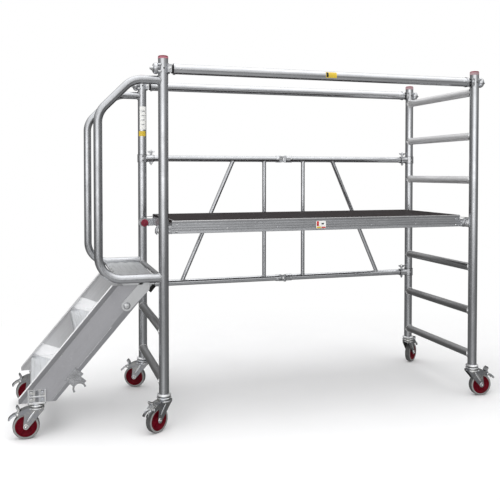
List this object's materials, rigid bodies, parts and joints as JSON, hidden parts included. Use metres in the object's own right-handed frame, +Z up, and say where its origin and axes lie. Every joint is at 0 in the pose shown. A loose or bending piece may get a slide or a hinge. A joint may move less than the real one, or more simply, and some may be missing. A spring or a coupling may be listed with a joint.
{
  "type": "folding work tower with stair",
  "caption": "Folding aluminium work tower on casters with a ribbed deck, top guardrails, a folding brace and a hinged stair rising to a landing with curved guard loops.",
  "frame": {"origin": "on the floor, at the centre of the footprint box", "axes": "+X runs along the deck away from the stair, +Y runs to the braced side, +Z is up"},
  "size_m": [2.6545, 0.8814, 1.8525],
  "materials": {
    "tube": "mill-finish drawn tube",
    "sheet": "extruded and sheet aluminium",
    "tread_plate": "bright sheet",
    "cast_alloy": "cast, lightly tumbled",
    "zinc": "zinc-plated pressed steel",
    "red_cap": "moulded cap",
    "board": "film-faced anti-slip plywood",
    "black_plastic": "moulded plug",
    "wheel_core": "dark red moulded wheel",
    "tyre": "grey tread"
  },
  "bodies": {
    "frame_right": {"uprights_right": "tube", "rungs_right": "tube", "caps_right": "red_cap", "stems_right": "zinc", "rail_bolts_right": "cast_alloy"},
    "brace_half_right": {"brace_right": "tube", "brace_ends_right": "cast_alloy"},
    "brace_half_left": {"brace_left": "tube", "brace_ends_left": "cast_alloy"},
    "frame_left": {"uprights_left": "tube", "rungs_left": "tube", "stubs_left": "tube", "caps_left": "red_cap", "stems_left": "zinc", "rail_bolts_left": "cast_alloy", "loop_front": "tube", "loop_rear": "tube", "landing": "sheet", "landing_nosing": "tread_plate", "stair_brackets": "cast_alloy"},
    "stair": {"stair_plugs": "black_plastic", "stringer_front": "sheet", "stringer_rear": "sheet", "tread_upper": "tread_plate", "tread_lower": "tread_plate", "stair_hooks": "cast_alloy", "stair_bolts": "zinc", "stems_stair": "zinc"},
    "deck": {"deck_board": "board", "deck_rails": "sheet", "deck_crossbars": "sheet", "deck_claws": "cast_alloy"},
    "rail_front": {"guardrail_front": "tube", "couplers_front": "cast_alloy"},
    "rail_rear": {"guardrail_rear": "tube", "couplers_rear": "cast_alloy"},
    "fork_fl_body": {"fork_fl": "zinc"},
    "wheel_fl": {"core_fl": "wheel_core", "tyre_fl": "tyre"},
    "pedal_fl": {"brake_fl": "zinc"},
    "fork_rl_body": {"fork_rl": "zinc"},
    "wheel_rl": {"core_rl": "wheel_core", "tyre_rl": "tyre"},
    "pedal_rl": {"brake_rl": "zinc"},
    "fork_fr_body": {"fork_fr": "zinc"},
    "wheel_fr": {"core_fr": "wheel_core", "tyre_fr": "tyre"},
    "pedal_fr": {"brake_fr": "zinc"},
    "fork_rr_body": {"fork_rr": "zinc"},
    "wheel_rr": {"core_rr": "wheel_core", "tyre_rr": "tyre"},
    "pedal_rr": {"brake_rr": "zinc"},
    "fork_sf_body": {"fork_sf": "zinc"},
    "wheel_sf": {"core_sf": "wheel_core", "tyre_sf": "tyre"},
    "pedal_sf": {"brake_sf": "zinc"},
    "fork_sr_body": {"fork_sr": "zinc"},
    "wheel_sr": {"core_sr": "wheel_core", "tyre_sr": "tyre"},
    "pedal_sr": {"brake_sr": "zinc"}
  },
  "joints": [
    {"name": "brace_fold_right", "type": "hinge", "parent": "frame_right", "child": "brace_half_right", "pos_m": [1.19527, 0.34832, 1], "axis": [0, 0, 1], "range_deg": [-80, 0]},
    {"name": "brace_fold_mid", "type": "hinge", "parent": "brace_half_right", "child": "brace_half_left", "pos_m": [0.30277, 0.32432, 1], "axis": [0, 0, 1], "range_deg": [0, 160]},
    {"name": "brace_fold_left", "type": "hinge", "parent": "brace_half_left", "child": "frame_left", "pos_m": [-0.58974, 0.34832, 1], "axis": [0, 0, 1], "range_deg": [-80, 0]},
    {"name": "deck_lift_off", "type": "slide", "parent": "frame_right", "child": "deck", "axis": [-0.3, 0, 0.9539], "range_m": [0, 0.7]},
    {"name": "guardrail_front_lift_off", "type": "slide", "parent": "frame_right", "child": "rail_front", "axis": [0, 0, 1], "range_m": [0, 1.05]},
    {"name": "guardrail_rear_lift_off", "type": "slide", "parent": "frame_right", "child": "rail_rear", "axis": [0, 0, 1], "range_m": [0, 1.05]},
    {"name": "stair_fold", "type": "hinge", "parent": "frame_left", "child": "stair", "pos_m": [-0.76474, -0.00168, 0.617], "axis": [0, 1, 0], "range_deg": [0, 38]},
    {"name": "swivel_front_left", "type": "hinge", "parent": "frame_left", "child": "fork_fl_body", "pos_m": [-0.58974, -0.35168, 0.155], "axis": [0, 0, 1], "continuous": true},
    {"name": "roll_front_left", "type": "hinge", "parent": "fork_fl_body", "child": "wheel_fl", "pos_m": [-0.63069, -0.38035, 0.0625], "axis": [0.5736, -0.8192, 0], "continuous": true},
    {"name": "pedal_front_left", "type": "hinge", "parent": "fork_fl_body", "child": "pedal_fl", "pos_m": [-0.66182, -0.40215, 0.123], "axis": [-0.5736, 0.8192, 0], "range_deg": [0, 14]},
    {"name": "swivel_rear_left", "type": "hinge", "parent": "frame_left", "child": "fork_rl_body", "pos_m": [-0.58974, 0.34832, 0.155], "axis": [0, 0, 1], "continuous": true},
    {"name": "roll_rear_left", "type": "hinge", "parent": "fork_rl_body", "child": "wheel_rl", "pos_m": [-0.63505, 0.36946, 0.0625], "axis": [-0.4226, -0.9063, 0], "continuous": true},
    {"name": "pedal_rear_left", "type": "hinge", "parent": "fork_rl_body", "child": "pedal_rl", "pos_m": [-0.66949, 0.38551, 0.123], "axis": [0.4226, 0.9063, 0], "range_deg": [0, 14]},
    {"name": "swivel_front_right", "type": "hinge", "parent": "frame_right", "child": "fork_fr_body", "pos_m": [1.19527, -0.35168, 0.155], "axis": [0, 0, 1], "continuous": true},
    {"name": "roll_front_right", "type": "hinge", "parent": "fork_fr_body", "child": "wheel_fr", "pos_m": [1.24507, -0.35603, 0.0625], "axis": [0.0872, 0.9962, 0], "continuous": true},
    {"name": "pedal_front_right", "type": "hinge", "parent": "fork_fr_body", "child": "pedal_fr", "pos_m": [1.28293, -0.35935, 0.123], "axis": [-0.0872, -0.9962, 0], "range_deg": [0, 14]},
    {"name": "swivel_rear_right", "type": "hinge", "parent": "frame_right", "child": "fork_rr_body", "pos_m": [1.19527, 0.34832, 0.155], "axis": [0, 0, 1], "continuous": true},
    {"name": "roll_rear_right", "type": "hinge", "parent": "fork_rr_body", "child": "wheel_rr", "pos_m": [1.2352, 0.37842, 0.0625], "axis": [-0.6018, 0.7986, 0], "continuous": true},
    {"name": "pedal_rear_right", "type": "hinge", "parent": "fork_rr_body", "child": "pedal_rr", "pos_m": [1.26554, 0.40129, 0.123], "axis": [0.6018, -0.7986, 0], "range_deg": [0, 14]},
    {"name": "swivel_stair_front", "type": "hinge", "parent": "stair", "child": "fork_sf_body", "pos_m": [-1.19573, -0.27668, 0.155], "axis": [0, 0, 1], "continuous": true},
    {"name": "roll_stair_front", "type": "hinge", "parent": "fork_sf_body", "child": "wheel_sf", "pos_m": [-1.24571, -0.27493, 0.0625], "axis": [-0.0349, -0.9994, 0], "continuous": true},
    {"name": "pedal_stair_front", "type": "hinge", "parent": "fork_sf_body", "child": "pedal_sf", "pos_m": [-1.28368, -0.2736, 0.123], "axis": [0.0349, 0.9994, 0], "range_deg": [0, 14]},
    {"name": "swivel_stair_rear", "type": "hinge", "parent": "stair", "child": "fork_sr_body", "pos_m": [-1.19573, 0.27332, 0.155], "axis": [0, 0, 1], "continuous": true},
    {"name": "roll_stair_rear", "type": "hinge", "parent": "fork_sr_body", "child": "wheel_sr", "pos_m": [-1.24571, 0.27158, 0.0625], "axis": [0.0349, -0.9994, 0], "continuous": true},
    {"name": "pedal_stair_rear", "type": "hinge", "parent": "fork_sr_body", "child": "pedal_sr", "pos_m": [-1.28368, 0.27025, 0.123], "axis": [-0.0349, 0.9994, 0], "range_deg": [0, 14]}
  ],
  "couplings": [
    {"joint": "brace_fold_mid", "follows": "brace_fold_right", "ratio": -2},
    {"joint": "brace_fold_left", "follows": "brace_fold_right", "ratio": 1},
    {"joint": "deck_lift_off", "follows": "brace_fold_right", "m_per_rad": -0.46},
    {"joint": "guardrail_front_lift_off", "follows": "brace_fold_right", "m_per_rad": -0.7},
    {"joint": "guardrail_rear_lift_off", "follows": "brace_fold_right", "m_per_rad": -0.7}
  ]
}
